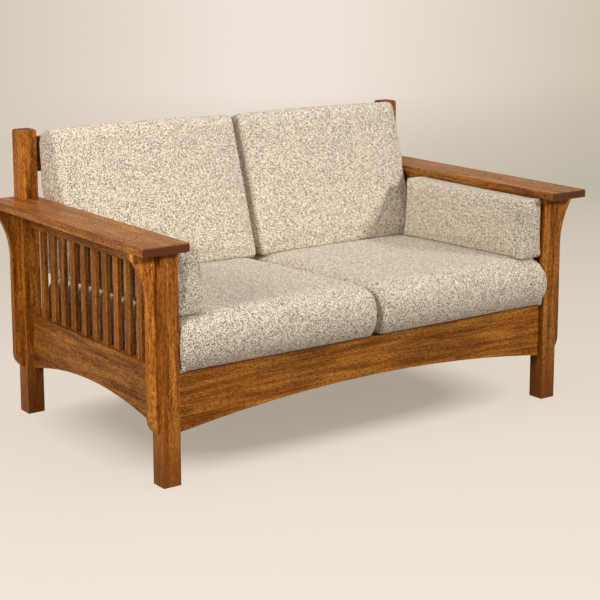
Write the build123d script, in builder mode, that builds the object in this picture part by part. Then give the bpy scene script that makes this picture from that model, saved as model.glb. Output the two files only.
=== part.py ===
from build123d import *
import math
import os

# A two-seat mission settle: an oak post-and-rail frame with slatted ends, a slatted
# seat deck and loose box cushions. X runs along the seat, +Y to the back, +Z up, and
# the origin is on the floor under the middle of the settle. Lengths are millimetres.

os.makedirs("parts", exist_ok=True)

# Frame
post_size = 57.15
frame_width = 1498.6
frame_depth = 905.0
arm_underside = 671.5
rear_post_height = 914.4
rail_thickness = 20.6
rail_foot = 147.0
arch_rise = 52.0
post_edge_round = 2.0
post_top_bevel = 5.0
foot_bevel = 1.5

# Arms
arm_width = 148.5
arm_thickness = 25.4
arm_inner_overhang = 13.0
arm_front_overhang = 43.0
arm_rear_overhang = 15.0
arm_corner_round = 4.0
arm_top_round = 4.5
arm_lower_bevel = 1.5
arm_tenon_size = 30.0
arm_tenon_length = 12.0

# Rails
front_rail_setback = 16.0
front_rail_top = 317.5
side_rail_setback = 25.4
side_rail_top = 324.0
upper_rail_depth = 66.0
back_rail_top = 889.0
back_rail_depth = 110.0
rear_rail_top = 330.0
rear_rail_depth = 100.0
rail_edge_round = 1.5

# Mortise and tenon joints
tenon_length = 22.0
tenon_thickness = 10.0
tenon_shoulder = 12.0
fit_gap = 0.2

# Corbels under the arms
corbel_projection = 30.0
corbel_top_projection = 74.0
corbel_lip = 19.0
corbel_curve_start = 510.0
corbel_straight_foot = 200.0
corbel_foot = 152.0
tongue_thickness = 6.0
tongue_reach = 15.0
tongue_height = 90.0
tongue_places = (250.0, 450.0)

# Slats of the two ends
side_slat_count = 11
side_slat_end_gap = 45.0
side_slat_width = 28.6
slat_thickness = 12.7
slat_housing = 10.0
slat_bevel = 1.2

# Slats of the back
back_slat_count = 7
back_slat_width = 63.5

# Slatted seat deck
cleat_width = 20.6
cleat_depth = 38.0
cleat_end_gap = 4.0
cleat_notch = 3.0
deck_slat_count = 5
deck_slat_width = 89.0
deck_slat_thickness = 16.0
deck_slat_end_gap = 1.0

# Clearances of the loose cushions
rest_gap = 0.3
side_play = 1.5

# Seat cushions
seat_front_nose = 30.0
seat_nose_height = 75.0
seat_front_foot = 12.0
seat_top_front = 32.0
seat_top_height = 152.0
seat_middle_share = 0.368
seat_middle_height = 152.5
seat_rear_gap = 31.0
seat_rear_height = 121.5
seat_rear_bulge = 20.0
seat_rear_foot = 8.0
seat_crown = 7.0
seat_nose_crown = 4.0
seat_end_round = 30.0

# Back cushions
back_lean = 18.1
back_top_thickness = 94.0
back_corner_over_rail = 13.5
back_rear_ease = 6.5
back_top_round = 34.0
back_top_crown = 8.0
back_front_crown = 12.0
back_end_round = 26.0
back_cushion_gap = 4.0

# Arm cushions
arm_cushion_front = 10.0
arm_cushion_rear_gap = 9.0
arm_cushion_thickness = 100.0
arm_cushion_front_rise = 162.7
arm_cushion_rear_rise = 149.7
arm_cushion_head_room = 5.5
arm_cushion_top_taper = 18.0
arm_cushion_crown = 9.0
arm_cushion_top_crown = 3.0
arm_cushion_end_round = 24.0
least_crown = 0.5

# The end of each cushion turns over through this angle, in steps of equal angle
end_turn_angle = 62.0
end_turn_steps = 3
middle_shares = (-0.6, -0.3, 0.0, 0.3, 0.6)

# Places that follow from the sizes above
half_width = frame_width / 2
post_inner_x = half_width - post_size
post_centre_x = half_width - post_size / 2
arm_length = arm_front_overhang + frame_depth + arm_rear_overhang
front_face_y = arm_front_overhang - arm_length / 2
rear_face_y = front_face_y + frame_depth
front_post_y = front_face_y + post_size / 2
rear_post_y = rear_face_y - post_size / 2
side_clear_front_y = front_face_y + post_size
side_clear_rear_y = rear_face_y - post_size
side_middle_y = (side_clear_front_y + side_clear_rear_y) / 2
side_rail_thickness = post_size - side_rail_setback
side_rail_x = half_width - side_rail_setback - side_rail_thickness / 2
front_rail_y = front_face_y + front_rail_setback + rail_thickness / 2
upper_rail_bottom = arm_underside - upper_rail_depth
rear_rail_bottom = rear_rail_top - rear_rail_depth
back_rail_bottom = back_rail_top - back_rail_depth
front_rail_back_y = front_rail_y + rail_thickness / 2
rear_rail_front_y = rear_post_y - rail_thickness / 2
deck_top = front_rail_top
deck_bottom = deck_top - deck_slat_thickness
seat_base = deck_top + rest_gap
seat_rear = rear_rail_front_y - front_face_y - seat_rear_gap - seat_rear_bulge
seat_middle = seat_rear * seat_middle_share


def save(body, name):
    body.part.label = name
    export_step(body.part, f"parts/{name}.step")


def block(origin, outward, along, width, height, depth, mode):
    """A rectangular tenon raised from a face, or a pocket sunk into it."""
    with BuildSketch(Plane(origin=origin, x_dir=along, z_dir=outward)) as outline:
        Rectangle(width, height)
    extrude(outline.sketch, amount=depth if mode == Mode.ADD else -depth, mode=mode)


def mortise(origin, outward, along, width, height, depth):
    """A pocket that takes a tenon of the given section with the fit gap all round."""
    block(origin, outward, along, width + 2 * fit_gap, height + 2 * fit_gap, depth + fit_gap, Mode.SUBTRACT)


def tenon_span(bottom, top):
    """Middle height and height of the tenon on a rail that lies between two heights."""
    return (bottom + top) / 2, top - bottom - 2 * tenon_shoulder


def rail_mortise(x, y, outward, along, bottom, top):
    middle, height = tenon_span(bottom, top)
    mortise((x, y, middle), outward, along, tenon_thickness, height, tenon_length)


def tongue_grooves(x, y, outward):
    """Blind grooves in an outer face, one for each tongue of the corbel there."""
    for height in tongue_places:
        mortise((x, y, height), outward, (0, 1, 0), tongue_thickness, tongue_height, tongue_reach)


def corner_post(name, side, y, height, inward_y, cross_rails):
    """A square post. inward_y points along the end frame, towards the other post."""
    x = side * post_centre_x
    with BuildPart() as body:
        with BuildSketch():
            with Locations((x, y)):
                Rectangle(post_size, post_size)
        extrude(amount=height)
        if height > arm_underside:
            chamfer(body.faces().sort_by(Axis.Z)[-1].edges(), length=post_top_bevel)
        fillet(body.edges().filter_by(Axis.Z), radius=post_edge_round)
        chamfer(body.faces().sort_by(Axis.Z)[0].edges(), length=foot_bevel)
        if height == arm_underside:
            block((x, y, height), (0, 0, 1), (1, 0, 0), arm_tenon_size, arm_tenon_size, arm_tenon_length, Mode.ADD)
        for rail_y, bottom, top in cross_rails:
            rail_mortise(side * post_inner_x, rail_y, (-side, 0, 0), (0, 1, 0), bottom, top)
        face_y = y + inward_y * post_size / 2
        for bottom, top in ((rail_foot, side_rail_top), (upper_rail_bottom, arm_underside)):
            rail_mortise(side * side_rail_x, face_y, (0, inward_y, 0), (1, 0, 0), bottom, top)
        tongue_grooves(side * half_width, y, (side, 0, 0))
    save(body, name)


def arm(name, side):
    """A flat arm: it sits on the front post, and the rear post passes through it."""
    inner_x = post_inner_x - arm_inner_overhang
    with BuildPart() as body:
        with BuildSketch(Plane.XY.offset(arm_underside)):
            with Locations((side * (inner_x + arm_width / 2), 0)):
                Rectangle(arm_width, arm_length)
        extrude(amount=arm_thickness)
        fillet(body.edges().filter_by(Axis.Z), radius=arm_corner_round)
        fillet(body.faces().sort_by(Axis.Z)[-1].edges(), radius=arm_top_round)
        chamfer(body.faces().sort_by(Axis.Z)[0].edges(), length=arm_lower_bevel)
        underside = (0, 0, -1)
        mortise((side * post_centre_x, front_post_y, arm_underside), underside, (1, 0, 0),
                arm_tenon_size, arm_tenon_size, arm_tenon_length)
        block((side * post_centre_x, rear_post_y, arm_underside), underside, (1, 0, 0),
              post_size + 2 * fit_gap, post_size + 2 * fit_gap, arm_thickness, Mode.SUBTRACT)
    save(body, name)


def corbel(name, side, y):
    """A bracket up the outside of a post, flaring out under the arm."""
    face = half_width
    with BuildPart() as body:
        with BuildSketch(Plane.XZ.offset(-y - rail_thickness / 2)):
            with BuildLine():
                root = (side * face, arm_underside)
                lip_top = (side * (face + corbel_top_projection), arm_underside)
                lip_low = (side * (face + corbel_top_projection), arm_underside - corbel_lip)
                curve_start = (side * (face + corbel_projection), corbel_curve_start)
                straight_foot = (side * (face + corbel_projection), corbel_straight_foot)
                foot = (side * face, corbel_foot)
                Polyline(foot, root, lip_top, lip_low)
                TangentArc(curve_start, lip_low, tangent=(0, 1))
                Line(curve_start, straight_foot)
                TangentArc(straight_foot, foot, tangent=(0, -1))
            make_face()
        extrude(amount=rail_thickness)
        shaft = body.edges().filter_by(Axis.Z).sort_by(Axis.X)
        outer_edges = shaft[-4:] if side > 0 else shaft[:4]
        chamfer(outer_edges, length=slat_bevel)
        tongue_grooves(side * face, y, (-side, 0, 0))
    save(body, name)


def arched_face(plane, low_end, high_end, top):
    """A rail's outline: straight along the top, with a shallow arch below."""
    middle = (low_end + high_end) / 2
    with BuildSketch(plane) as outline:
        with BuildLine():
            Polyline((low_end, rail_foot), (low_end, top), (high_end, top), (high_end, rail_foot))
            ThreePointArc((high_end, rail_foot), (middle, rail_foot + arch_rise), (low_end, rail_foot))
        make_face()
    return outline.sketch


def ease_along(body, axis):
    """Rounds the long edges of a rail's top."""
    fillet(body.faces().sort_by(Axis.Z)[-1].edges().filter_by(axis), radius=rail_edge_round)


def cross_rail(name, y, bottom, top, arched, slats):
    """A rail between the left and right posts."""
    with BuildPart() as body:
        face = Plane.XZ.offset(-y - rail_thickness / 2)
        if arched:
            outline = arched_face(face, -post_inner_x, post_inner_x, top)
            extrude(outline, amount=rail_thickness)
        else:
            with BuildSketch(face):
                with Locations((0, (bottom + top) / 2)):
                    Rectangle(2 * post_inner_x, top - bottom)
            extrude(amount=rail_thickness)
        ease_along(body, Axis.X)
        middle, height = tenon_span(bottom, top)
        for side in (-1, 1):
            block((side * post_inner_x, y, middle), (side, 0, 0), (0, 1, 0),
                  tenon_thickness, height, tenon_length, Mode.ADD)
        for slat_x, slat_z, up in slats:
            mortise((slat_x, y, slat_z), (0, 0, up), (1, 0, 0), back_slat_width, slat_thickness, slat_housing)
    save(body, name)


def side_slat_places():
    """Middles of the side slats, evenly spaced between the gaps beside the posts."""
    first = side_clear_front_y + side_slat_end_gap + side_slat_width / 2
    last = side_clear_rear_y - side_slat_end_gap - side_slat_width / 2
    pitch = (last - first) / (side_slat_count - 1)
    return [first + pitch * n for n in range(side_slat_count)]


def side_rail(name, side, lower):
    """A rail between the posts of one end, flush with their inner faces, with a pocket for each slat."""
    x = side * side_rail_x
    face = Plane.YZ.offset(x - side_rail_thickness / 2)
    bottom, top = (rail_foot, side_rail_top) if lower else (upper_rail_bottom, arm_underside)
    with BuildPart() as body:
        if lower:
            outline = arched_face(face, side_clear_front_y, side_clear_rear_y, top)
            extrude(outline, amount=side_rail_thickness)
            ease_along(body, Axis.Y)
        else:
            with BuildSketch(face):
                with Locations((side_middle_y, (bottom + top) / 2)):
                    Rectangle(side_clear_rear_y - side_clear_front_y, top - bottom)
            extrude(amount=side_rail_thickness)
        middle, height = tenon_span(bottom, top)
        for y, outward in ((side_clear_front_y, -1), (side_clear_rear_y, 1)):
            block((x, y, middle), (0, outward, 0), (1, 0, 0), tenon_thickness, height, tenon_length, Mode.ADD)
        for y in side_slat_places():
            mortise((x, y, top if lower else bottom), (0, 0, 1 if lower else -1), (1, 0, 0),
                    slat_thickness, side_slat_width, slat_housing)
    save(body, name)


def upright_slat(name, x, y, size_x, size_y, bottom, top):
    """A slat that stands in its pocket below and reaches into the one above."""
    with BuildPart() as body:
        with BuildSketch(Plane.XY.offset(bottom - slat_housing - fit_gap)):
            with Locations((x, y)):
                Rectangle(size_x, size_y)
        extrude(amount=top - bottom + 2 * slat_housing + fit_gap)
        chamfer(body.edges().filter_by(Axis.Z), length=slat_bevel)
    save(body, name)


def spread_between_posts(count, width):
    """Middles of evenly spread boards, with equal gaps between them and at the posts."""
    gap = (2 * post_inner_x - count * width) / (count + 1)
    first = -post_inner_x + gap + width / 2
    return [first + (gap + width) * n for n in range(count)]


back_slat_places = spread_between_posts(back_slat_count, back_slat_width)
deck_slat_places = spread_between_posts(deck_slat_count, deck_slat_width)
front_cleat_y = front_rail_back_y + cleat_width / 2
rear_cleat_y = rear_rail_front_y - cleat_width / 2


def cleat(name, y):
    """A strip along the inside of a rail, notched for the ends of the deck slats."""
    with BuildPart() as body:
        with BuildSketch(Plane.XY.offset(deck_bottom + cleat_notch)):
            with Locations((0, y)):
                Rectangle(2 * (post_inner_x - cleat_end_gap), cleat_width)
        extrude(amount=-cleat_depth)
        for x in deck_slat_places:
            block((x, y, deck_bottom + cleat_notch), (0, 0, 1), (1, 0, 0),
                  deck_slat_width + 2 * fit_gap, cleat_width, cleat_notch, Mode.SUBTRACT)
    save(body, name)


def deck_slat(name, x):
    """A board that drops into the notches of the front and rear cleats."""
    with BuildPart() as body:
        low_y = front_rail_back_y + deck_slat_end_gap
        high_y = rear_rail_front_y - deck_slat_end_gap
        with BuildSketch(Plane.XY.offset(deck_bottom)):
            with Locations((x, (low_y + high_y) / 2)):
                Rectangle(deck_slat_width, high_y - low_y)
        extrude(amount=deck_slat_thickness)
        chamfer(body.edges().filter_by(Axis.Y), length=slat_bevel)
    save(body, name)


def corbel_tongues():
    """Loose tongues, half in a post and half in its corbel."""
    with BuildPart() as body:
        for side in (-1, 1):
            for y in (front_post_y, rear_post_y):
                for height in tongue_places:
                    middle = Plane(origin=(side * half_width, y, height), x_dir=(0, 1, 0), z_dir=(1, 0, 0))
                    with BuildSketch(middle):
                        Rectangle(tongue_thickness, tongue_height)
                    extrude(amount=tongue_reach, both=True)
    save(body, "corbel_tongues")


def turned_ends(half, end_round):
    """Stations across a cushion of the given half length, each with its inset there."""
    last = math.radians(end_turn_angle)
    turn = []
    for step in range(end_turn_steps + 1):
        angle = last * step / end_turn_steps
        from_end = end_round * (math.sin(last) - math.sin(angle))
        turn.append((half - from_end, end_round * (1 - math.cos(angle))))
    low_side = [(-place, inset) for place, inset in reversed(turn)]
    return low_side + [(half * share, 0) for share in middle_shares] + turn


def seat_cushion(name, side):
    """Side profiles from one end of the cushion to the other: a rounded nose that
    overhangs the front rail, a crowned top and a flat base."""
    half = (post_inner_x - 2 * side_play) / 2
    centre_x = side * post_inner_x / 2
    with BuildPart() as body:
        for place, inset in turned_ends(half, seat_end_round):
            centred = 1 - (place / half) ** 2
            crown = seat_crown * centred - inset
            nose = seat_nose_crown * centred - inset
            low = seat_base + inset / 2
            foot = (front_face_y + seat_front_foot + inset, low)
            nose_tip = (front_face_y - seat_front_nose - nose, seat_base + seat_nose_height)
            brow = (front_face_y + seat_top_front + inset, seat_base + seat_top_height + crown)
            top = (front_face_y + seat_middle, seat_base + seat_middle_height + crown)
            tail = (front_face_y + seat_rear - inset, seat_base + seat_rear_height + crown)
            rear_tip = (front_face_y + seat_rear + seat_rear_bulge - inset, seat_base + seat_nose_height)
            rear_foot = (front_face_y + seat_rear + seat_rear_foot - inset, low)
            with BuildSketch(Plane.YZ.offset(centre_x + place)):
                with BuildLine():
                    Line(rear_foot, foot)
                    ThreePointArc(foot, nose_tip, brow)
                    ThreePointArc(brow, top, tail)
                    ThreePointArc(tail, rear_tip, rear_foot)
                make_face()
        loft(ruled=True)
    save(body, name)


def seat_height_at(depth):
    """Height of the seat's edge above its base at a depth behind the front face."""
    rows = [(seat_top_front, seat_top_height), (seat_middle, seat_middle_height), (seat_rear, seat_rear_height)]
    (x1, z1), (x2, z2), (x3, z3) = rows
    share1 = (depth - x2) * (depth - x3) / ((x1 - x2) * (x1 - x3))
    share2 = (depth - x1) * (depth - x3) / ((x2 - x1) * (x2 - x3))
    share3 = (depth - x1) * (depth - x2) / ((x3 - x1) * (x3 - x2))
    return z1 * share1 + z2 * share2 + z3 * share3


lean = math.radians(back_lean)
back_rear_y = rear_rail_front_y - rest_gap
back_rear_base = seat_base + seat_rear_height + seat_crown + rest_gap
back_corner_z = back_rail_top + back_corner_over_rail
back_corner_y = back_rear_y - back_rear_ease - back_top_thickness * math.cos(lean)
seat_contact_depth = back_corner_y - front_face_y - (back_corner_z - seat_base - seat_rear_height) * math.tan(lean)
back_low_z = seat_base + seat_height_at(seat_contact_depth)
back_low_y = back_corner_y - (back_corner_z - back_low_z) * math.tan(lean)
back_corner_rise = (back_corner_z - back_low_z) / math.cos(lean)
back_base = back_low_z + seat_crown + rest_gap


def leaning(rise, depth):
    """A point in the side view, by its height up the lean and depth into the cushion."""
    y = back_low_y + rise * math.sin(lean) + depth * math.cos(lean)
    return (y, back_low_z + rise * math.cos(lean) - depth * math.sin(lean))


def on_base(depth, base):
    """The point of the side view at a depth into the cushion and on its flat base."""
    return leaning((base - back_low_z + depth * math.sin(lean)) / math.cos(lean), depth)


def back_cushion(name, side):
    """Side profiles from one end of the cushion to the other: a wedge with a crowned
    front that leans back, a rounded top, a flat rear against the back rails and a base
    that falls with the seat cushion."""
    outer_end = post_inner_x - arm_inner_overhang - rest_gap
    half = (outer_end - back_cushion_gap / 2) / 2
    centre_x = side * (outer_end - half)
    with BuildPart() as body:
        for place, inset in turned_ends(half, back_end_round):
            centred = 1 - (place / half) ** 2
            front = inset
            rear = back_top_thickness - inset
            corner = back_corner_rise - inset
            top_rise = back_top_round * (rear - front) / back_top_thickness + back_top_crown * centred
            front_low = on_base(front, back_base + inset / 2)
            rear_low = (back_rear_y - inset, back_rear_base + inset / 2)
            middle = leaning(corner / 2, front - back_front_crown * centred - least_crown)
            with BuildSketch(Plane.YZ.offset(centre_x + place)):
                with BuildLine():
                    ThreePointArc(front_low, middle, leaning(corner, front))
                    ThreePointArc(leaning(corner, front), leaning(corner + top_rise, back_top_thickness / 2),
                                  leaning(corner, rear))
                    Polyline(leaning(corner, rear), rear_low, front_low)
                make_face()
        loft(ruled=True)
    save(body, name)


def arm_cushion(name, side):
    """Upright sections from the front end to the rear one, narrower at the top, with a
    crowned inner face and a base that falls to the rear with the seat cushion below."""
    outer = side * (post_inner_x - rest_gap)
    inner = side * (post_inner_x - rest_gap - arm_cushion_thickness)
    half = (back_low_y - arm_cushion_rear_gap - front_face_y - arm_cushion_front) / 2
    centre_y = front_face_y + arm_cushion_front + half
    base_fall = arm_cushion_front_rise - arm_cushion_rear_rise
    with BuildPart() as body:
        for place, inset in turned_ends(half, arm_cushion_end_round):
            centred = 1 - (place / half) ** 2
            near = outer - side * inset / 2
            far = inner + side * inset
            top_far = far + side * arm_cushion_top_taper
            low = seat_base + arm_cushion_front_rise - base_fall * (place + half) / (2 * half) + inset
            high = arm_underside - arm_cushion_head_room - inset
            swell = side * (arm_cushion_crown * centred + least_crown)
            crest = high + arm_cushion_top_crown * centred + least_crown
            with BuildSketch(Plane.XZ.offset(-centre_y - place)):
                with BuildLine():
                    Polyline((near, high), (near, low), (far, low))
                    ThreePointArc((far, low), ((far + top_far) / 2 - swell, (low + high) / 2), (top_far, high))
                    ThreePointArc((top_far, high), ((near + top_far) / 2, crest), (near, high))
                make_face()
        loft(ruled=True)
    save(body, name)


sides = (("left", -1), ("right", 1))
front_rails = [(front_rail_y, rail_foot, front_rail_top)]
rear_rails = [(rear_post_y, rear_rail_bottom, rear_rail_top), (rear_post_y, back_rail_bottom, back_rail_top)]
for hand, side in sides:
    corner_post(f"front_{hand}_post", side, front_post_y, arm_underside, 1, front_rails)
    corner_post(f"rear_{hand}_post", side, rear_post_y, rear_post_height, -1, rear_rails)
    arm(f"{hand}_arm", side)
    corbel(f"front_{hand}_corbel", side, front_post_y)
    corbel(f"rear_{hand}_corbel", side, rear_post_y)
    side_rail(f"{hand}_lower_rail", side, True)
    side_rail(f"{hand}_upper_rail", side, False)
    for number, y in enumerate(side_slat_places(), start=1):
        upright_slat(f"{hand}_slat_{number}", side * side_rail_x, y, slat_thickness, side_slat_width,
                     side_rail_top, upper_rail_bottom)
    seat_cushion(f"{hand}_seat_cushion", side)
    back_cushion(f"{hand}_back_cushion", side)
    arm_cushion(f"{hand}_arm_cushion", side)

cross_rail("front_rail", front_rail_y, rail_foot, front_rail_top, True, [])
cross_rail("rear_seat_rail", rear_post_y, rear_rail_bottom, rear_rail_top, False,
           [(x, rear_rail_top, 1) for x in back_slat_places])
cross_rail("back_top_rail", rear_post_y, back_rail_bottom, back_rail_top, False,
           [(x, back_rail_bottom, -1) for x in back_slat_places])
for number, x in enumerate(back_slat_places, start=1):
    upright_slat(f"back_slat_{number}", x, rear_post_y, back_slat_width, slat_thickness,
                 rear_rail_top, back_rail_bottom)
cleat("front_cleat", front_cleat_y)
cleat("rear_cleat", rear_cleat_y)
for number, x in enumerate(deck_slat_places, start=1):
    deck_slat(f"deck_slat_{number}", x)
corbel_tongues()
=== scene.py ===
import math

import bpy
import numpy as np
from mathutils import Euler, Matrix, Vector
from mathutils.bvhtree import BVHTree


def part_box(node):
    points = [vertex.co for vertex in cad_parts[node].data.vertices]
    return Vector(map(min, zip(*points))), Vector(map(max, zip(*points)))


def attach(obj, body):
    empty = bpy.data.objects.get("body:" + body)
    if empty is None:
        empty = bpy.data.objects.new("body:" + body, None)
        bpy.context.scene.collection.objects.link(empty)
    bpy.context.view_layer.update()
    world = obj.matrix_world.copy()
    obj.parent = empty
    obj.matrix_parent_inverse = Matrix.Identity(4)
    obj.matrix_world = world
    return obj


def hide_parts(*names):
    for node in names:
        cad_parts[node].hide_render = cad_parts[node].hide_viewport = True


# The mission settle. The wood keeps its CAD solids and gets oak. The six cushions get new
# covers, each of which rides on its own CAD cushion. X runs across the settle, Y from its
# front to its back and Z up, and the hands are the viewer's. Lengths are in metres, except
# where a comment says millimetres.

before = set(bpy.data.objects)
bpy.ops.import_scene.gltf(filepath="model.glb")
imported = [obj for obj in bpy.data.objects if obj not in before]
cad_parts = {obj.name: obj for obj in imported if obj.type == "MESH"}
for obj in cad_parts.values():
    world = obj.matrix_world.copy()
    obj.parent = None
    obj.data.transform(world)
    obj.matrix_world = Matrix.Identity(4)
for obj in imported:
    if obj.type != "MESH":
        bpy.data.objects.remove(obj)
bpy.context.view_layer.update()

MM = 0.001
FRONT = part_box("front_left_post")[0].y          # the front face of the front posts
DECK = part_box("front_rail")[1].z                # the height that the seats rest at
POST_INNER = -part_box("front_left_post")[1].x    # half the room between the posts
ARM_INNER = -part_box("left_arm")[1].x            # half the room between the arms
ARM_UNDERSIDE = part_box("left_arm")[0].z
TOP_RAIL_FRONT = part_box("back_top_rail")[0].y
LEAN = math.radians(18.1)                       # of the back cushions' front
CLEAR = 0.6 * MM                                # between a cover and what it meets


# ---------------------------------------------------------------- node trees

class Nodes:
    """A node tree, with one short call for each kind of node."""

    def __init__(self, tree):
        self.tree = tree

    def node(self, kind, **values):
        made = self.tree.nodes.new(kind)
        for key, value in values.items():
            setattr(made, key, value)
        return made

    def link(self, output, target):
        self.tree.links.new(output, target)

    def feed(self, socket, value):
        """Links a socket, or sets a constant: a number, or a colour without its alpha."""
        if isinstance(value, bpy.types.NodeSocket):
            self.link(value, socket)
        elif socket.type == "RGBA":
            socket.default_value = (*value, 1.0)
        else:
            socket.default_value = value

    def math(self, operation, first, second=0.0):
        made = self.node("ShaderNodeMath", operation=operation)
        self.feed(made.inputs[0], first)
        self.feed(made.inputs[1], second)
        return made.outputs[0]

    def scaled(self, source, scale, shift=(0, 0, 0)):
        """Coordinates times a scale and shifted: a small scale draws a texture out."""
        made = self.node("ShaderNodeMapping")
        self.link(source, made.inputs["Vector"])
        made.inputs["Scale"].default_value = scale
        made.inputs["Location"].default_value = shift
        return made.outputs[0]

    def parts(self, vector):
        made = self.node("ShaderNodeSeparateXYZ")
        self.link(vector, made.inputs[0])
        return made.outputs

    def noise(self, source, scale, detail, roughness, distortion=0.0):
        made = self.node("ShaderNodeTexNoise")
        self.link(source, made.inputs["Vector"])
        made.inputs["Scale"].default_value = scale
        made.inputs["Detail"].default_value = detail
        made.inputs["Roughness"].default_value = roughness
        made.inputs["Distortion"].default_value = distortion
        return made.outputs["Fac"]

    def ramp(self, factor, *stops):
        """A colour for each value of the factor, through stops of a place and a colour."""
        made = self.node("ShaderNodeValToRGB")
        self.link(factor, made.inputs[0])
        keys = made.color_ramp.elements
        while len(keys) < len(stops):
            keys.new(0.5)
        for key, (place, colour) in zip(keys, stops):
            key.position = place
            key.color = (*colour, 1.0)
        return made.outputs[0]

    def mask(self, factor, low, high):
        """Zero at low, one at high and straight between them, also where high is the lower."""
        made = self.node("ShaderNodeMapRange", clamp=True)
        self.link(factor, made.inputs["Value"])
        made.inputs["From Min"].default_value = low
        made.inputs["From Max"].default_value = high
        return made.outputs[0]

    def mix(self, factor, first, second, blend="MIX"):
        made = self.node("ShaderNodeMix", data_type="RGBA", blend_type=blend)
        self.feed(made.inputs[0], factor)
        self.feed(made.inputs[6], first)
        self.feed(made.inputs[7], second)
        return made.outputs[2]

    def mix_values(self, factor, first, second):
        made = self.node("ShaderNodeMix", data_type="FLOAT")
        self.feed(made.inputs[0], factor)
        self.feed(made.inputs[2], first)
        self.feed(made.inputs[3], second)
        return made.outputs[0]

    def mix_shaders(self, factor, first, second):
        made = self.node("ShaderNodeMixShader")
        for socket, value in zip(made.inputs, (factor, first, second)):
            self.link(value, socket)
        return made.outputs[0]


class Material(Nodes):
    """The node tree of a new material, with its main shader as the surface."""

    def __init__(self, name):
        self.material = bpy.data.materials.new(name)
        self.material.use_nodes = True
        super().__init__(self.material.node_tree)
        self.surface = self.tree.nodes["Principled BSDF"]

    def set_surface(self, values):
        for name, value in values.items():
            self.feed(self.surface.inputs[name], value)

    def bump(self, height, distance, strength):
        made = self.node("ShaderNodeBump")
        self.link(height, made.inputs["Height"])
        made.inputs["Distance"].default_value = distance
        made.inputs["Strength"].default_value = strength
        self.link(made.outputs[0], self.surface.inputs["Normal"])


# ---------------------------------------------------------------- oak and deck wood

OAK_DARK = (0.170, 0.044, 0.0055)
OAK_MIDDLE = (0.400, 0.130, 0.0150)
OAK_LIGHT = (0.680, 0.272, 0.0420)
OAK_PORE = (0.045, 0.0100, 0.0015)
OAK_FLECK = (0.560, 0.220, 0.0480)
OAK_END_DARK = (0.060, 0.014, 0.003)
OAK_END_LIGHT = (0.155, 0.041, 0.008)

# Each noise of the oak: the share of its scale that is left along the grain, then its
# scale, detail, roughness and distortion.
STREAKS = (0.06, 105.0, 5.0, 0.62, 0.3)
FIGURE = (0.07, 26.0, 3.0, 0.5, 1.1)
PORES = (0.24, 320.0, 1.0, 0.5, 0.0)
FINE_PORES = (0.40, 560.0, 1.0, 0.5, 0.0)
FLECKS = (0.5, 85.0, 2.0, 0.55, 1.8)
PATCHES = (1.0, 4.5, 2.0, 0.5, 0.0)
END_RINGS = (1.0, 260.0, 3.0, 0.6, 0.0)

# Where each noise starts and ends as a mask, and how much of it shows. The heights are those
# between which painted shade darkens a post towards its foot.
STREAK_SHARE = 0.6
BODY_STOPS = (0.36, 0.49, 0.62)
FLECK_SPAN, FLECK_SHARE = (0.57, 0.66), 0.40
PORE_SPAN, PORE_SHARE = (0.51, 0.60), 0.66
FINE_PORE_SPAN, FINE_PORE_SHARE = (0.49, 0.57), 0.50
PATCH_TONES = ((0.30, 0.80), (0.70, 1.18))
FOOT_SHADE_HEIGHTS, FOOT_SHADE_SHARE = (0.24, 0.06), 0.7
END_FACING = (0.6, 0.9)
END_STOPS = (0.38, 0.62)

# Roughness of the oak, and what a pore adds. A relief is a depth and a strength.
OAK_ROUGHNESS = 0.36
PORE_ROUGHNESS = 0.22
ARM_POLISH = {"Specular IOR Level": 0.18, "Coat Weight": 0.06, "Coat Roughness": 0.24}
OAK_POLISH = {"Specular IOR Level": 0.10, "Coat Weight": 0.02, "Coat Roughness": 0.24}
STREAK_RELIEF = 0.5
OAK_RELIEF = (0.25 * MM, 0.6)

# The bare wood of the deck, with a grain along Y.
BARE_DARK = (0.42, 0.26, 0.12)
BARE_LIGHT = (0.66, 0.46, 0.26)
BARE_GRAIN = (60.0, 4.0, 0.6, 0.4)
BARE_STRETCH = (1, 0.06, 1)
BARE_STOPS = (0.35, 0.65)
BARE_ROUGHNESS = 0.62
BARE_RELIEF = (0.3 * MM, 0.5)

AXES = {"X": 0, "Y": 1, "Z": 2}


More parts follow.
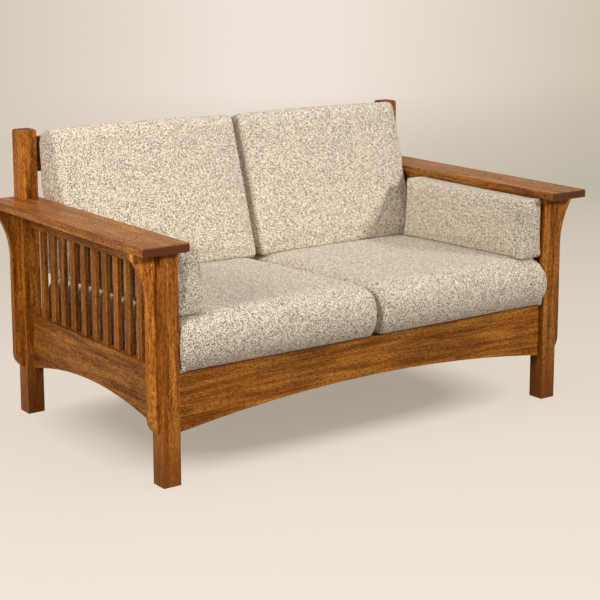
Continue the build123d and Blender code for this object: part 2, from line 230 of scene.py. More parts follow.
def oak(node, grain, shift, tone):
    """Stained quarter-sawn oak: long streaks, short dark pores and ray flecks, all drawn out
    along the grain, with darker end grain. The tone of a piece is partly painted light, and
    painted shade darkens the posts towards the floor."""
    s = Material(f"oak_{node}")
    place = s.node("ShaderNodeTexCoord").outputs["Object"]
    along = AXES[grain]

    def grain_noise(share, *settings):
        scale = [1.0, 1.0, 1.0]
        scale[along] = share
        return s.noise(s.scaled(place, scale, shift), *settings)

    streaks = grain_noise(*STREAKS)
    blend = s.math("ADD", s.math("MULTIPLY", streaks, STREAK_SHARE),
                   s.math("MULTIPLY", grain_noise(*FIGURE), 1 - STREAK_SHARE))
    body = s.ramp(blend, *zip(BODY_STOPS, (OAK_DARK, OAK_MIDDLE, OAK_LIGHT)))
    flecks = s.mask(grain_noise(*FLECKS), *FLECK_SPAN)
    body = s.mix(s.math("MULTIPLY", flecks, FLECK_SHARE), body, OAK_FLECK)
    coarse = s.math("MULTIPLY", s.mask(grain_noise(*PORES), *PORE_SPAN), PORE_SHARE)
    fine = s.math("MULTIPLY", s.mask(grain_noise(*FINE_PORES), *FINE_PORE_SPAN), FINE_PORE_SHARE)
    pores = s.math("MAXIMUM", coarse, fine)
    body = s.mix(pores, body, OAK_PORE)
    # Random patches times the piece's tone, which is partly painted light.
    patch_tones_and_light = [(stop, (level * tone,) * 3) for stop, level in PATCH_TONES]
    body = s.mix(1.0, body, s.ramp(grain_noise(*PATCHES), *patch_tones_and_light), "MULTIPLY")
    # Painted shade: a post darkens towards the floor.
    if node.endswith("post"):
        foot_shade = s.mask(s.parts(place)[2], *FOOT_SHADE_HEIGHTS)
        body = s.mix(s.math("MULTIPLY", foot_shade, FOOT_SHADE_SHARE), body, OAK_DARK)
    facing = s.parts(s.node("ShaderNodeTexCoord").outputs["Normal"])[along]
    end_mask = s.mask(s.math("ABSOLUTE", facing), *END_FACING)
    end_grain = s.ramp(grain_noise(*END_RINGS), *zip(END_STOPS, (OAK_END_DARK, OAK_END_LIGHT)))
    s.set_surface({
        "Base Color": s.mix(end_mask, body, end_grain),
        "Roughness": s.math("ADD", s.math("MULTIPLY", pores, PORE_ROUGHNESS), OAK_ROUGHNESS),
        **(ARM_POLISH if node.endswith("arm") else OAK_POLISH)})
    s.bump(s.math("SUBTRACT", s.math("MULTIPLY", streaks, STREAK_RELIEF), pores), *OAK_RELIEF)
    return s.material


def deck_wood():
    """Bare sanded boards, seen only from below and behind or with the cushions lifted."""
    s = Material("deck_wood")
    place = s.node("ShaderNodeTexCoord").outputs["Object"]
    grain = s.noise(s.scaled(place, BARE_STRETCH), *BARE_GRAIN)
    s.set_surface({"Base Color": s.ramp(grain, *zip(BARE_STOPS, (BARE_DARK, BARE_LIGHT))),
                   "Roughness": BARE_ROUGHNESS})
    s.bump(grain, *BARE_RELIEF)
    return s.material


# A tone for each piece that stands out in the photo. The others take these steps in turn.
# Part of these tones is painted light: the rear left post and the front left corbel are lightened
# for the light that falls on them.
PIECE_TONES_AND_LIGHT = {"front_left_post": 1.12, "rear_left_post": 1.30, "front_right_post": 0.92,
              "front_left_corbel": 1.50, "rear_left_corbel": 1.12, "front_right_corbel": 1.0,
              "front_rail": 0.90, "left_lower_rail": 0.90, "left_arm": 1.0, "right_arm": 0.95}
TONE_STEPS = (1.0, 0.88, 1.1, 0.94)
NODE_SHIFT = (0.37, 0.53, 0.71)
GRAIN = {"post": "Z", "slat": "Z", "corbel": "Z", "arm": "Y", "lower_rail": "Y",
         "upper_rail": "Y", "front_rail": "X", "rear_seat_rail": "X", "back_top_rail": "X"}


def grain_of(node):
    """The axis that the grain of an oak node follows, or None for the bare wood inside."""
    kind = node.rstrip("_0123456789")
    if not kind.startswith("deck"):
        for word, axis in GRAIN.items():
            if kind.endswith(word):
                return axis
    return None


def dress_wood():
    """Every wooden node keeps its CAD shape and gets oak that runs with its length."""
    bare = deck_wood()
    for number, (node, piece) in enumerate(sorted(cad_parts.items())):
        if node.endswith("cushion"):
            continue
        grain = grain_of(node)
        piece.data.materials.clear()
        if grain is None:
            piece.data.materials.append(bare)
        else:
            shift = [step * number for step in NODE_SHIFT]
            tone = PIECE_TONES_AND_LIGHT.get(node, TONE_STEPS[number % len(TONE_STEPS)])
            piece.data.materials.append(oak(node, grain, shift, tone))


# ---------------------------------------------------------------- tweed

TWEED_TAUPE = (0.060, 0.042, 0.024)
TWEED_SAND = (0.380, 0.290, 0.200)
TWEED_OATMEAL = (0.760, 0.640, 0.495)
TWEED_CREAM = (0.950, 0.840, 0.690)
TWEED_STOPS = (0.30, 0.37, 0.44, 0.52)
TWEED_FINISH = {"Roughness": 0.92, "Specular IOR Level": 0.15, "Sheen Weight": 0.12,
                "Sheen Roughness": 0.5}
TWEED_SHIFT = (0.31, 0.17, 0.23)

# The flecks are cells a little drawn out in one of two ways. The crossing noise picks the
# way, and clumps make some places lighter. Noises have a scale, detail and roughness.
YARN_SCALE = 560.0
YARN_RANDOMNESS = 0.9
YARN_WAYS = ((0.80, 1.0, 1.0), (1.0, 0.85, 0.80))
CROSSING, CROSSING_SPAN = (450.0, 1.0, 0.5), (0.47, 0.53)
CLUMPS, CLUMP_SHARE = (60.0, 2.0, 0.6), 0.16
WEAVE_PITCH = 4.6 * MM
WEAVE_RELIEF = 0.25
TWEED_RELIEF = (0.9 * MM, 0.5)


def tweed(name, shift):
    """Oatmeal tweed: cream yarn with short taupe and sand flecks that lie along the
    warp or the weft, and a coarse plain weave in relief."""
    s = Material(name)
    place = s.scaled(s.node("ShaderNodeTexCoord").outputs["Object"], (1, 1, 1), shift)
    picks = []
    for way in YARN_WAYS:
        yarn = s.node("ShaderNodeTexVoronoi", feature="F1")
        s.link(s.scaled(place, way), yarn.inputs["Vector"])
        yarn.inputs["Scale"].default_value = YARN_SCALE
        yarn.inputs["Randomness"].default_value = YARN_RANDOMNESS
        cell = s.node("ShaderNodeSeparateColor")
        s.link(yarn.outputs["Color"], cell.inputs[0])
        picks.append((cell.outputs[0], yarn.outputs["Distance"]))
    crossing = s.mask(s.noise(place, *CROSSING), *CROSSING_SPAN)
    pick = s.mix_values(crossing, picks[0][0], picks[1][0])
    clumps = s.math("SUBTRACT", s.noise(place, *CLUMPS), 0.5)
    chosen = s.math("ADD", pick, s.math("MULTIPLY", clumps, CLUMP_SHARE))
    yarns = zip(TWEED_STOPS, (TWEED_TAUPE, TWEED_SAND, TWEED_OATMEAL, TWEED_CREAM))
    s.set_surface({"Base Color": s.ramp(chosen, *yarns), **TWEED_FINISH})
    pitch = 2 * math.pi / WEAVE_PITCH
    waves = [s.math("SINE", s.math("MULTIPLY", part, pitch)) for part in s.parts(place)]
    weave = s.math("ADD", s.math("MULTIPLY", waves[0], s.math("ADD", waves[1], waves[2])),
                   s.math("MULTIPLY", waves[1], waves[2]))
    height = s.math("SUBTRACT", s.math("MULTIPLY", weave, WEAVE_RELIEF), picks[0][1])
    s.bump(height, *TWEED_RELIEF)
    return s.material


# ---------------------------------------------------------------- meshes of the covers

def part_of(value, start, span):
    """How far a value, or each of an array, has come from the start over the span: 0 to 1."""
    return np.clip((value - start) / span, 0, 1)


def smooth_ring(points, steps):
    """A closed smooth curve through the points, with equal steps between each two."""
    count = len(points)
    ring = []
    for n in range(count):
        p0, p1, p2, p3 = (np.array(points[(n + k - 1) % count], float) for k in range(4))
        for step in range(steps):
            t = step / steps
            ring.append(0.5 * (2 * p1 + (p2 - p0) * t + (2 * p0 - 5 * p1 + 4 * p2 - p3) * t * t
                               + (3 * p1 - p0 - 3 * p2 + p3) * t * t * t))
    return np.array(ring)


ARC_WEIGHT = 0.7071             # of the corner, for a curve close to a quarter circle


def rounded_ring(corners, cuts, arc, side):
    """A convex polygon whose corners are rounded from a cut before each to the same cut
    after it, with arc steps round a corner and side steps along an edge."""
    count = len(corners)
    corners = [np.array(c, float) for c in corners]
    turns = []
    for n in range(count):
        to_last = corners[n - 1] - corners[n]
        to_next = corners[(n + 1) % count] - corners[n]
        turns.append((corners[n] + to_last / np.linalg.norm(to_last) * cuts[n], corners[n],
                      corners[n] + to_next / np.linalg.norm(to_next) * cuts[n]))
    ring = []
    for n in range(count):
        start, corner, end = turns[n]
        for step in range(arc + 1):
            t = step / arc
            weight = ARC_WEIGHT * 2 * t * (1 - t)
            total = (1 - t) ** 2 + weight + t * t
            ring.append(((1 - t) ** 2 * start + weight * corner + t * t * end) / total)
        following = turns[(n + 1) % count][0]
        for step in range(1, side):
            ring.append(end + (following - end) * step / side)
    return np.array(ring)


TURN_STEPS = 7
MIDDLE_STEPS = 24


def stations(low, high, turn):
    """Places from low to high, close together at the ends, with the inset at each: there
    the rings draw in over a quarter circle of the turn's radius."""
    made = []
    for n in range(TURN_STEPS):
        angle = math.radians(90) * (1 - n / TURN_STEPS)
        made.append((low + turn * (1 - math.sin(angle)), turn * (1 - math.cos(angle))))
    made += [(low + turn + (high - low - 2 * turn) * n / MIDDLE_STEPS, 0.0)
             for n in range(MIDDLE_STEPS + 1)]
    for n in range(1, TURN_STEPS + 1):
        angle = math.radians(90) * n / TURN_STEPS
        made.append((high - turn + turn * math.sin(angle), turn * (1 - math.cos(angle))))
    return made


def inset_ring(ring, inset):
    """The ring drawn in towards its own middle by about the inset on every side."""
    low, high = ring.min(0), ring.max(0)
    centre = (low + high) / 2
    size = np.maximum(high - low, 1e-9)
    return centre + (ring - centre) * (1 - 2 * inset / size)


def new_piece(name, mesh):
    piece = bpy.data.objects.new(name, mesh)
    bpy.context.scene.collection.objects.link(piece)
    return piece


def mesh_from_rings(name, rings):
    """A closed mesh through equal rings of 3-D points, with flat caps."""
    count = len(rings[0])
    points = [tuple(p) for ring in rings for p in ring]
    faces = []
    for n in range(len(rings) - 1):
        for k in range(count):
            m = (k + 1) % count
            faces.append((n * count + k, n * count + m, (n + 1) * count + m, (n + 1) * count + k))
    faces.append(tuple(reversed(range(count))))
    faces.append(tuple((len(rings) - 1) * count + k for k in range(count)))
    mesh = bpy.data.meshes.new(name)
    mesh.from_pydata(points, [], faces)
    mesh.validate()
    return new_piece(name, mesh)


def coordinates(piece):
    flat = np.zeros(len(piece.data.vertices) * 3)
    piece.data.vertices.foreach_get("co", flat)
    return flat.reshape(-1, 3)


def put_coordinates(piece, points):
    flat = np.ascontiguousarray(points, dtype=np.float32).ravel()
    piece.data.vertices.foreach_set("co", flat)
    piece.data.update()


def apply_modifier(piece, modifier):
    bpy.context.view_layer.objects.active = piece
    for other in bpy.context.selected_objects:
        other.select_set(False)
    piece.select_set(True)
    bpy.ops.object.modifier_apply(modifier=modifier.name)


def soften(piece, times):
    """Each point moves half the way to the middle of its neighbours, a number of times."""
    ease = piece.modifiers.new("ease", "SMOOTH")
    ease.factor, ease.iterations = 0.5, times
    apply_modifier(piece, ease)


def remesh(piece, voxel):
    """Even faces of about the voxel's size all over, which swell alike as cloth."""
    step = piece.modifiers.new("voxels", "REMESH")
    step.mode = "VOXEL"
    step.voxel_size = voxel
    apply_modifier(piece, step)
    soften(piece, 4)


COVER_CLOTH = {"use_pressure": True, "uniform_pressure_force": 2.5, "quality": 5, "mass": 0.35,
               "tension_stiffness": 22, "compression_stiffness": 22, "shear_stiffness": 8,
               "bending_stiffness": 1.5}
SWELL_FRAMES = 18


def puff(piece, cap, rest=None):
    """The cover swells over its filling as cloth, and moves by no more than the cap. With
    rest, a height and a span above it, it hardly moves near where it bears its weight."""
    before = coordinates(piece)
    cloth = piece.modifiers.new("cloth", "CLOTH")
    for name, value in COVER_CLOTH.items():
        setattr(cloth.settings, name, value)
    cloth.settings.effector_weights.gravity = 0
    cloth.point_cache.frame_start, cloth.point_cache.frame_end = 1, SWELL_FRAMES
    scene = bpy.context.scene
    for number in range(1, SWELL_FRAMES + 1):
        scene.frame_set(number)
    apply_modifier(piece, cloth)
    scene.frame_set(1)
    moved = coordinates(piece) - before
    length = np.linalg.norm(moved, axis=1, keepdims=True)
    limited = moved * np.minimum(1.0, cap / np.maximum(length, 1e-9))
    if rest is not None:
        limited *= part_of(before[:, 2:], *rest)
    put_coordinates(piece, before + limited)


DRAPE_FADE = 40 * MM
DRAPE_START = 0.2


def drape_over(piece, below, reach):
    """The underside comes down on the surface below it by no more than the reach, or up
    out of it. The move fades out a little above the underside."""
    surface = below.data
    tree = BVHTree.FromPolygons([v.co for v in surface.vertices],
                                [tuple(f.vertices) for f in surface.polygons])
    points = coordinates(piece)
    low = points[:, 2].min()
    for n, (x, y, z) in enumerate(points):
        if z > low + DRAPE_FADE + reach:
            continue
        start = Vector((x, y, low + DRAPE_FADE + DRAPE_START))
        hit = tree.ray_cast(start, Vector((0, 0, -1)))[0]
        if hit is None:
            continue
        share = max(0.0, 1 - (z - low) / (DRAPE_FADE + reach))
        points[n, 2] = z - min(z - hit.z - CLEAR, reach * share)
    put_coordinates(piece, points)


def finish_cushion(piece, node, cover, settle=None):
    """The last smoothing, settling, subdivision and cloth of a cover, which then takes the
    place of its CAD cushion and rides on it."""
    soften(piece, 2)
    if settle is not None:
        put_coordinates(piece, settle(coordinates(piece)))
    fine = piece.modifiers.new("fine", "SUBSURF")
    fine.levels = fine.render_levels = 1
    for face in piece.data.polygons:
        face.use_smooth = True
    piece.data.materials.clear()
    piece.data.materials.append(cover)
    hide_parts(node)
    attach(piece, node)


# ---------------------------------------------------------------- seat cushions

# Side view of the seat: depth behind the posts' front and height, in millimetres.
SEAT_PROFILE = ((24, 319.5), (9, 322), (-13, 344), (-26, 372), (-29, 400), (-23, 430),
                (-7, 456), (32, 470), (135, 474), (293, 470), (459, 465), (615, 456),
                (740, 446), (806, 437), (828, 418), (834, 385), (828, 345), (816, 322),
                (800, 319.5), (600, 319), (300, 319))
PROFILE_STEPS = 5
SEAT_MARGIN = 1.5 * MM
SEAT_TURN = 22 * MM
SEAT_CROWN = 6.0                # millimetres, in full from CROWN_RISE above CROWN_FROM
CROWN_FROM, CROWN_RISE = 400, 70
SEAT_VOXEL = 9 * MM
SEAT_SWELL = 7 * MM
SEAT_HOLD = 70 * MM
SEAT_FOOT = 26 * MM             # the corner at the deck and the post that is made fuller
FOOT_POWER = 10                 # how square it is: 2 would leave it round
END_PERCENTILE = 98
MIDDLE_GAP = 0.9 * MM
NOSE_START = 6 * MM             # ahead of the posts, the nose may spread in front of them
NOSE_SPAN = 12 * MM
NOSE_SPREAD = 6 * MM
NOSE_WIDTH = 60 * MM
SEAT_TOP_ROOM = 4.0             # millimetres that the top may rise over the base line
SEAT_TOP_EASE = 8 * MM
ARM_BASE_FRONT = 481.0          # millimetres: the base line of the arm cushion, by its
ARM_BASE_FALL = 13.5            # height at the front and its fall to the rear


def settle_seat(points, side, arm_low, arm_high):
    """The end fills the room at the post, the underside lies flat on the deck, the lower
    edge between them is nearly square, and the top stays under the arm cushion's path."""
    back_share = part_of(points[:, 1], arm_low.y, arm_high.y - arm_low.y)
    ceiling = (ARM_BASE_FRONT - ARM_BASE_FALL * back_share + SEAT_TOP_ROOM) * MM
    over = np.maximum(points[:, 2] - (ceiling - SEAT_TOP_EASE), 0)
    points[:, 2] += SEAT_TOP_EASE * np.tanh(over / SEAT_TOP_EASE) - over
    end = POST_INNER - CLEAR
    reach = side * points[:, 0]
    reach *= end / np.percentile(reach, END_PERCENTILE)
    reach = np.clip(reach, MIDDLE_GAP, end)
    rise = np.maximum(points[:, 2] - DECK, CLEAR)
    along = np.clip(1 - (end - reach) / SEAT_FOOT, 0, 1)
    down = np.clip(1 - (rise - CLEAR) / SEAT_FOOT, 0, 1)
    corner = (along > 0) & (down > 0)
    square = (along ** FOOT_POWER + down ** FOOT_POWER) ** (1 / FOOT_POWER)
    gain = np.hypot(along, down) / np.maximum(square, 1e-9)
    along, down = np.minimum(along * gain, 1), np.minimum(down * gain, 1)
    ahead = part_of(FRONT - points[:, 1], NOSE_START, NOSE_SPAN)
    reach += NOSE_SPREAD * ahead * np.clip(1 - (POST_INNER - reach) / NOSE_WIDTH, 0, 1)
    points[:, 0] = side * np.where(corner, end - SEAT_FOOT * (1 - along), reach)
    points[:, 2] = DECK + np.where(corner, CLEAR + SEAT_FOOT * (1 - down), rise)
    return points


def seat_cushion(hand, side, cover):
    """A box cushion with a full nose, a crowned top and ends that turn over."""
    node = f"{hand}_seat_cushion"
    low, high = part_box(node)
    profile = smooth_ring(SEAT_PROFILE, PROFILE_STEPS)
    half = (high.x - low.x) / 2
    middle = (high.x + low.x) / 2
    rings = []
    for x, inset in stations(low.x + SEAT_MARGIN, high.x - SEAT_MARGIN, SEAT_TURN):
        ring = inset_ring(profile, inset / MM)
        centred = 1 - ((x - middle) / half) ** 2
        lift = part_of(ring[:, 1], CROWN_FROM, CROWN_RISE) * SEAT_CROWN * centred
        rings.append([(x, FRONT + y * MM, (z + up) * MM) for (y, z), up in zip(ring, lift)])
    piece = mesh_from_rings(f"{hand}_seat_cover", rings)
    remesh(piece, SEAT_VOXEL)
    puff(piece, SEAT_SWELL, rest=(DECK, SEAT_HOLD))
    arm_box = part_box(f"{hand}_arm_cushion")

    def settle(points):
        return settle_seat(points, side, *arm_box)

    put_coordinates(piece, settle(coordinates(piece)))
    finish_cushion(piece, node, cover, settle)
    return piece


# ---------------------------------------------------------------- back cushions

# In the side view, in millimetres: the foot of the leaning front, the rise of its top up
# the lean, the thickness there, the upright rear, and the base at the front and the rear.
BACK_FOOT = (624.1, 456.1)
BACK_RISE = 500.0
BACK_THICKNESS = 94.0
BACK_REAR = 865.0
BACK_BASE = (462.0, 446.0)
BACK_CUTS = (12, 16, 30, 28)
BACK_ARC, BACK_SIDE = 8, 24
BACK_TURN = 11 * MM
BACK_CROWN = 9.0                # millimetres, at the middle of the front
BACK_TOP_CROWN = 6.0            # millimetres, and where up the lean it starts and is full
TOP_CROWN_FROM, TOP_CROWN_RISE = 390, 100
BACK_VOXEL = 8 * MM
BACK_SWELL = 6 * MM
BACK_REACH = 9 * MM
FLARE = 7 * MM                  # the outer end widens above half the height
FLARE_RISE = (0.5, 0.1)
FLARE_ACROSS = (0.30, 0.38)
RIGHT_BOW = (8, 5)              # millimetres: the right one draws back from the left one,
                                # and by the second number more at half its height
BOW_WIDTH = 0.36
ARM_ZONE = 32 * MM
POST_ROOM = 2 * MM
BACK_MIDDLE_GAP = 0.8 * MM


def leaning(rise, depth):
    """A point of the side view by its rise up the lean and its depth, in millimetres."""
    return np.array((BACK_FOOT[0] + rise * math.sin(LEAN) + depth * math.cos(LEAN),
                     BACK_FOOT[1] + rise * math.cos(LEAN) - depth * math.sin(LEAN)))


def up_the_lean(y, z):
    """The rise and depth of a point of the side view: the inverse of leaning."""
    back, up = y - BACK_FOOT[0], z - BACK_FOOT[1]
    return (back * math.sin(LEAN) + up * math.cos(LEAN),
            back * math.cos(LEAN) - up * math.sin(LEAN))


def back_section(x, outline, inset, centred):
    """The side view at one place across, crowned on its front and top. The crown goes with
    centred, which is one at the middle of the cushion and nought at its ends."""
    section = []
    for y, z in inset_ring(outline, inset / MM):
        rise, depth = up_the_lean(y, z)
        bulge = BACK_CROWN * math.sin(math.pi * part_of(rise, 0, BACK_RISE)) * centred
        y -= bulge * max(0.0, 1 - depth / BACK_THICKNESS) * math.cos(LEAN)
        z += BACK_TOP_CROWN * centred * part_of(rise, TOP_CROWN_FROM, TOP_CROWN_RISE)
        section.append((x, FRONT + y * MM, z * MM))
    return section


def fit_back(points, side):
    """The cover widens above the arm, keeps off the arm and the post, and stands against
    the top rail."""
    rise = part_of(points[:, 2] / MM, BACK_FOOT[1], BACK_RISE * math.cos(LEAN))
    outward = part_of(side * points[:, 0], *FLARE_ACROSS)
    points[:, 0] += side * part_of(rise, *FLARE_RISE) * FLARE * outward
    if side > 0:
        bow = (RIGHT_BOW[0] + RIGHT_BOW[1] * np.sin(np.pi * rise)) * MM
        points[:, 0] += bow * part_of(BOW_WIDTH - points[:, 0], 0, BOW_WIDTH)
    beside_arm = points[:, 2] < ARM_UNDERSIDE + ARM_ZONE
    limit = np.where(beside_arm, ARM_INNER - CLEAR, POST_INNER - POST_ROOM)
    points[:, 0] = side * np.minimum(side * points[:, 0], limit)
    points[:, 0] = side * np.maximum(side * points[:, 0], BACK_MIDDLE_GAP)
    points[:, 1] = np.minimum(points[:, 1], TOP_RAIL_FRONT - CLEAR)
    return points


def back_cushion(hand, side, cover, seat):
    """A wedge: its front leans back, and its rear stands against the back rails."""
    node = f"{hand}_back_cushion"
    low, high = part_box(node)
    front_base, rear_base = BACK_BASE
    rear_top = leaning(BACK_RISE, BACK_THICKNESS)[1]
    corners = (leaning((front_base - BACK_FOOT[1]) / math.cos(LEAN), 0), (BACK_REAR, rear_base),
               (BACK_REAR, rear_top), leaning(BACK_RISE, 0))
    outline = rounded_ring(corners, BACK_CUTS, BACK_ARC, BACK_SIDE)
    half = (high.x - low.x) / 2
    middle = (high.x + low.x) / 2
    rings = [back_section(x, outline, inset, 1 - ((x - middle) / half) ** 2)
             for x, inset in stations(low.x, high.x, BACK_TURN)]
    piece = mesh_from_rings(f"{hand}_back_cover", rings)
    remesh(piece, BACK_VOXEL)
    puff(piece, BACK_SWELL)
    put_coordinates(piece, fit_back(coordinates(piece), side))
    drape_over(piece, seat, BACK_REACH)
    finish_cushion(piece, node, cover)


# ---------------------------------------------------------------- arm cushions

ARM_BASE_WIDTH = 99.0           # millimetres, as are the next four
ARM_TOP_WIDTH = {"left": 80.0, "right": 86.0}
ARM_CUTS = (8, 9, 10, 9)
ARM_BULGE = 7.0
ARM_OVERFILL = 3.0
ARM_ARC, ARM_SIDE = 6, 14
ARM_TURN = 10 * MM
ARM_VOXEL = 6 * MM
ARM_SWELL = 5 * MM
ARM_REACH = 7 * MM
ARM_TOP_GAP = 1.2 * MM


def arm_cushion(hand, side, cover, seat):
    """An upright box cushion, narrower at the top, that stands in the corner of the arm."""
    node = f"{hand}_arm_cushion"
    low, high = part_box(node)
    half = (high.y - low.y) / 2
    middle = (high.y + low.y) / 2
    rings = []
    for y, inset in stations(low.y, high.y, ARM_TURN):
        centred = 1 - ((y - middle) / half) ** 2
        back_share = (y - low.y) / (high.y - low.y)
        base = ARM_BASE_FRONT - ARM_BASE_FALL * back_share
        tall = ARM_UNDERSIDE / MM + ARM_OVERFILL - base
        corners = ((0, 0), (ARM_BASE_WIDTH, 0), (ARM_TOP_WIDTH[hand], tall), (0, tall))
        outline = rounded_ring(corners, ARM_CUTS, ARM_ARC, ARM_SIDE)
        section = []
        for across, up in inset_ring(outline, inset / MM):
            bulge = ARM_BULGE * centred * math.sin(math.pi * part_of(up, 0, tall))
            across += bulge * across / ARM_BASE_WIDTH
            section.append((side * (POST_INNER - CLEAR - across * MM), y, (base + up) * MM))
        rings.append(section)
    piece = mesh_from_rings(f"{hand}_arm_cover", rings)
    remesh(piece, ARM_VOXEL)
    puff(piece, ARM_SWELL)
    points = coordinates(piece)
    points[:, 0] = side * np.minimum(side * points[:, 0], POST_INNER - CLEAR)
    points[:, 2] = np.minimum(points[:, 2], ARM_UNDERSIDE - ARM_TOP_GAP)
    put_coordinates(piece, points)
    drape_over(piece, seat, ARM_REACH)
    finish_cushion(piece, node, cover)


def dress_cushions():
    for number, (hand, side) in enumerate((("left", -1), ("right", 1))):
        cover = tweed(f"tweed_{hand}", [step * number for step in TWEED_SHIFT])
        seat = seat_cushion(hand, side, cover)
        back_cushion(hand, side, cover, seat)
        arm_cushion(hand, side, cover, seat)


# ---------------------------------------------------------------- floor

FLOOR_RADIUS = 60.0
FLOOR_SIDES = 96
FLOOR_GAIN = 1.95               # brings the lit floor up to its paper tone
BOUNCE = (0.40, 0.33, 0.26)     # the floor's colour in the light that it throws back

# The camera's way along the floor, and across it to the right.
VIEW_TURN = math.radians(36.3)
SWEEP = (math.sin(VIEW_TURN), math.cos(VIEW_TURN), 0.0)
ACROSS = (SWEEP[1], -SWEEP[0], 0.0)
EYE_DISTANCE = 4.7
LEAST_DISTANCE = 0.5

# The paper's tones by the distance along the sweep, then a tone for the near left, and a glow
# behind the middle. The changes of tone are painted falloff of light, and the glow is a painted
# pool of light. Spans run from where a tone is absent to where it is full.
PAPER_TONES_AND_FALLOFF = ((-1.5, (0.890, 0.790, 0.690)), (0.3, (0.775, 0.690, 0.585)),
               (4.4, (0.522, 0.474, 0.382)), (12.0, (0.640, 0.555, 0.455)))
FLOOR_LEFT = (0.660, 0.575, 0.485)
LEFT_ACROSS, LEFT_AWAY = (0.8, -1.2), (0.5, 3.5)
PAINTED_FLOOR_GLOW = (0.871, 0.776, 0.701)
GLOW_PLACE = 0.02
GLOW_SLANT, GLOW_AWAY = (0.20, 0.03), (3.0, 10.0)

# The shadow lies in a rounded rectangle under the settle. The shares of plain paper are
# those in it, close to it and far off.
SHADE_SPAN = (0.78, 0.46)
SHADE_CENTRE = (-0.03, 0.035)
SHADE_POWER = 4.0
SHADE_SHARE, NEAR_SHARE, FAR_SHARE = 0.42, 0.90, 1
NEAR_EDGE, FAR_EDGE = (0.68, 1.0), (1.1, 2.4)


def seen_directly(s):
    """One for a ray from the camera, or one seen in gloss or through glass."""
    path = s.node("ShaderNodeLightPath")
    seen = s.math("MAXIMUM", path.outputs["Is Camera Ray"], path.outputs["Is Glossy Ray"])
    return s.math("MAXIMUM", seen, path.outputs["Is Transmission Ray"])


def paper_tone_and_falloff(s, place):
    """The floor's tone with painted falloff of light: it darkens and then lifts with the
    distance, and a painted glow lies behind the middle.
    """

    def along(direction):
        made = s.node("ShaderNodeVectorMath", operation="DOT_PRODUCT")
        s.link(place, made.inputs[0])
        made.inputs[1].default_value = direction
        return made.outputs["Value"]

    away, aside = along(SWEEP), along(ACROSS)
    first, last = PAPER_TONES_AND_FALLOFF[0][0], PAPER_TONES_AND_FALLOFF[-1][0]
    stops = [((distance - first) / (last - first), tone) for distance, tone in PAPER_TONES_AND_FALLOFF]
    paper = s.ramp(s.mask(away, first, last), *stops)
    leftward = s.math("MULTIPLY", s.mask(aside, *LEFT_ACROSS), s.mask(away, *LEFT_AWAY))
    paper = s.mix(leftward, paper, FLOOR_LEFT)
    from_eye = s.math("MAXIMUM", s.math("ADD", away, EYE_DISTANCE), LEAST_DISTANCE)
    slant = s.math("ADD", s.math("DIVIDE", aside, from_eye), GLOW_PLACE)
    behind = s.mask(s.math("ABSOLUTE", slant), *GLOW_SLANT)
    return s.mix(s.math("MULTIPLY", behind, s.mask(away, *GLOW_AWAY)), paper, PAINTED_FLOOR_GLOW)


def paper_share(s, place):
    """How much of the floor is plain paper, which takes no shadow."""
    scale = [1 / span for span in SHADE_SPAN]
    shift = [-centre / span for centre, span in zip(SHADE_CENTRE, SHADE_SPAN)]
    sides = s.parts(s.scaled(place, (*scale, 1), (*shift, 0)))
    powers = [s.math("POWER", s.math("ABSOLUTE", sides[n]), SHADE_POWER) for n in range(2)]
    ring = s.math("POWER", s.math("ADD", *powers), 1 / SHADE_POWER)
    near = s.math("MULTIPLY", s.mask(ring, *NEAR_EDGE), NEAR_SHARE - SHADE_SHARE)
    far = s.math("MULTIPLY", s.mask(ring, *FAR_EDGE), FAR_SHARE - NEAR_SHARE)
    return s.math("ADD", s.math("ADD", near, far), SHADE_SHARE)


def floor():
    """A wide plain floor, which takes the shadow only close to the settle."""
    ring = []
    for n in range(FLOOR_SIDES):
        angle = 2 * math.pi * n / FLOOR_SIDES
        ring.append((FLOOR_RADIUS * math.cos(angle), FLOOR_RADIUS * math.sin(angle), 0))
    mesh = bpy.data.meshes.new("floor")
    mesh.from_pydata(ring, [], [tuple(range(FLOOR_SIDES))])
    piece = new_piece("floor", mesh)
    s = Material("floor")
    place = s.node("ShaderNodeNewGeometry").outputs["Position"]
    paper = paper_tone_and_falloff(s, place)
    direct = seen_directly(s)
    lit = s.node("ShaderNodeBsdfDiffuse")
    bright = s.mix(1.0, paper, (FLOOR_GAIN,) * 3, "MULTIPLY")
    s.link(s.mix(direct, BOUNCE, bright), lit.inputs["Color"])
    plain = s.node("ShaderNodeEmission")
    s.link(paper, plain.inputs["Color"])
    share = s.math("MULTIPLY", paper_share(s, place), direct)
    both = s.mix_shaders(share, lit.outputs[0], plain.outputs[0])
    s.link(both, s.tree.nodes["Material Output"].inputs["Surface"])
    s.tree.nodes.remove(s.surface)
    mesh.materials.append(s.material)
    return piece


# ---------------------------------------------------------------- lights and camera

# The key's strength is that of a sun, and the others' are in watts.
KEY = {"energy": 1.75, "angle": math.radians(8), "color": (1.0, 0.975, 0.94)}
KEY_PLACE = (3.92, -8.23, 4.11)
SIDE_LAMP = {"energy": 120, "color": (1.0, 0.96, 0.91), "size": 1.3, "size_y": 1.3}
SIDE_PLACE, SIDE_AIM = (-4.3, -1.2, 2.4), (0, 0, 0.4)
TOP_LAMP = {"energy": 55, "color": (1.0, 0.98, 0.95), "size": 3.6, "size_y": 3.6}
TOP_PLACE = (0.2, -0.3, 4.4)
MIDDLE = (0, 0, 0)
WORLD_COLOUR = (1.0, 0.965, 0.92)
WORLD_STRENGTH = 0.29


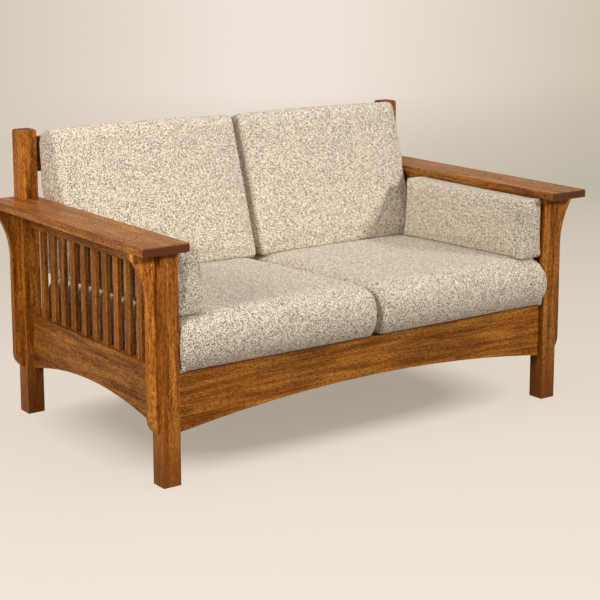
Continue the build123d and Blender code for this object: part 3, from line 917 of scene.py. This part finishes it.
def put_lamp(name, kind, values, place, aim, unlit=None):
    """A lamp that points from a place to another, and may leave one object out."""
    data = bpy.data.lights.new(name, kind)
    if kind == "AREA":
        data.shape = "RECTANGLE"
    for key, value in values.items():
        setattr(data, key, value)
    lamp = new_piece(name, data)
    lamp.location = place
    lamp.rotation_euler = (Vector(aim) - Vector(place)).to_track_quat("-Z", "Y").to_euler()
    if unlit is not None:
        group = bpy.data.collections.new(f"unlit_by_{name}")
        group.objects.link(unlit)
        lamp.light_linking.receiver_collection = group
        group.collection_objects[0].light_linking.link_state = "EXCLUDE"


def lights(ground):
    """A distant key from the right of the front, a soft lamp from the left of it and one
    overhead. Only the lamp overhead and the world throw a shadow on the floor. The camera
    sees the world as the floor's far tone."""
    put_lamp("key", "SUN", KEY, KEY_PLACE, MIDDLE, ground)
    put_lamp("side", "AREA", SIDE_LAMP, SIDE_PLACE, SIDE_AIM, ground)
    put_lamp("top", "AREA", TOP_LAMP, TOP_PLACE, MIDDLE)
    world = bpy.data.worlds.new("studio")
    bpy.context.scene.world = world
    world.use_nodes = True
    s = Nodes(world.node_tree)
    light = s.tree.nodes["Background"]
    s.feed(light.inputs[0], WORLD_COLOUR)
    s.feed(light.inputs[1], WORLD_STRENGTH)
    paper = s.node("ShaderNodeBackground")
    s.feed(paper.inputs[0], PAPER_TONES_AND_FALLOFF[-1][1])
    both = s.mix_shaders(seen_directly(s), light.outputs[0], paper.outputs[0])
    s.link(both, s.tree.nodes["World Output"].inputs[0])


# The place is measured from the posts' front, and the angles are in degrees.
CAMERA_PLACE = (-2.8503, -3.612, 1.535)
CAMERA_YAW = 36.257
CAMERA_PITCH = 9.968
CAMERA_ROLL = -0.079
CAMERA_LENS = 94.244
CAMERA_SENSOR = 36.0
CAMERA_SHIFT = (-0.04, -0.16)
CAMERA_REACH = 100.0


def camera():
    data = bpy.data.cameras.new("camera")
    data.sensor_width = CAMERA_SENSOR
    data.lens = CAMERA_LENS
    data.shift_x, data.shift_y = CAMERA_SHIFT
    data.clip_end = CAMERA_REACH
    made = new_piece("camera", data)
    x, y, z = CAMERA_PLACE
    made.location = (x, FRONT + y, z)
    made.rotation_euler = Euler([math.radians(angle) for angle in
                                 (90 - CAMERA_PITCH, CAMERA_ROLL, -CAMERA_YAW)], "XYZ")
    bpy.context.scene.camera = made


bpy.context.scene.view_settings.view_transform = "Standard"
dress_wood()
dress_cushions()
lights(floor())
camera()
